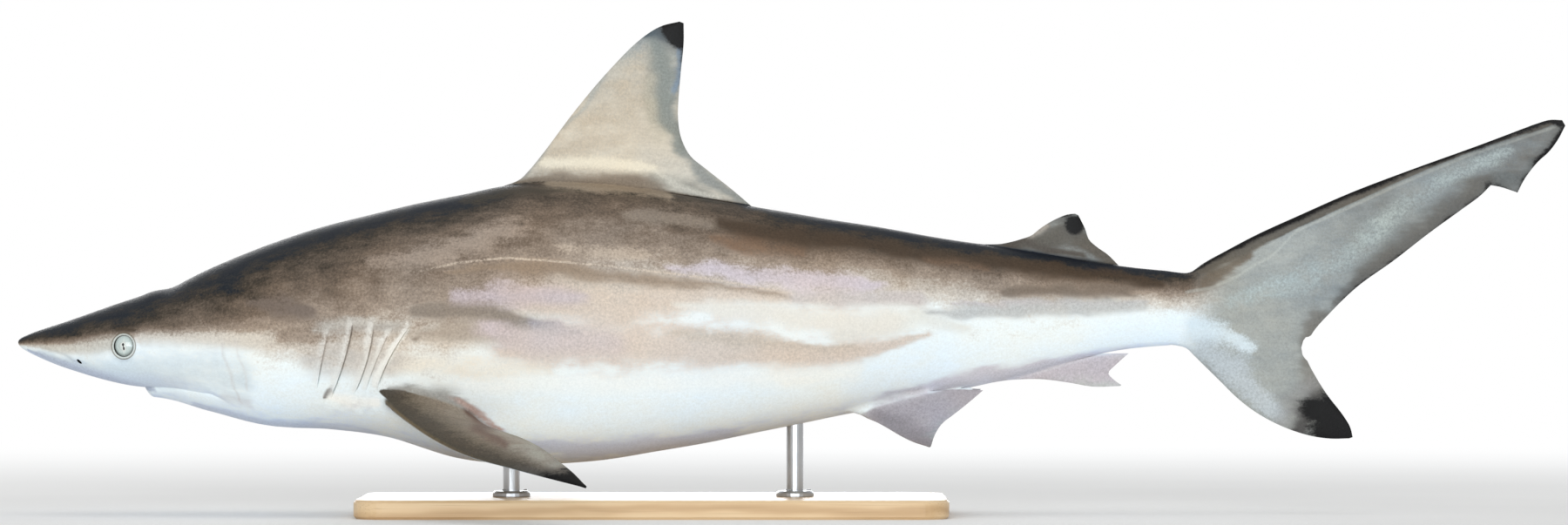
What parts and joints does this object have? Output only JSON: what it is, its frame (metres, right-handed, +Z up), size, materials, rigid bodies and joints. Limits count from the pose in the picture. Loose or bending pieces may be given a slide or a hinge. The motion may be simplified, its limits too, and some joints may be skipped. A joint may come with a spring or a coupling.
{
  "type": "blacktip shark model",
  "caption": "Life-size still model of a blacktip shark swimming level, with dusky fin tips, pale flanks and belly, on a low flat stand with short rods.",
  "frame": {"origin": "on the floor, under the middle of the model's bounding box", "axes": "+X from the snout to the tail, +Y to the shark's right, +Z up"},
  "size_m": [1.473, 0.5504, 0.4706],
  "materials": {
    "skin": "smooth wet shark skin, grey-brown above, cream flank band, white below, black fin tips",
    "eye": "clear glossy eye with a pale silver-green iris and a narrow upright pupil",
    "stand_wood": "plain satin light wood",
    "stand_steel": "satin steel"
  },
  "bodies": {
    "root": {"head": "skin", "lower_jaw": "skin", "gill_region": "skin", "trunk_front": "skin", "trunk_rear": "skin", "tail_stalk": "skin", "dorsal_fin_first": "skin", "dorsal_fin_second": "skin", "anal_fin": "skin", "tail_fin_upper_lobe": "skin", "tail_fin_lower_lobe": "skin", "pectoral_fin_left": "skin", "pelvic_fin_left": "skin", "clasper_left": "skin", "pectoral_fin_right": "skin", "pelvic_fin_right": "skin", "clasper_right": "skin", "eye_left": "eye", "eye_right": "eye", "stand_base": "stand_wood", "stand_rod_front": "stand_steel", "stand_rod_rear": "stand_steel"}
  },
  "joints": []
}
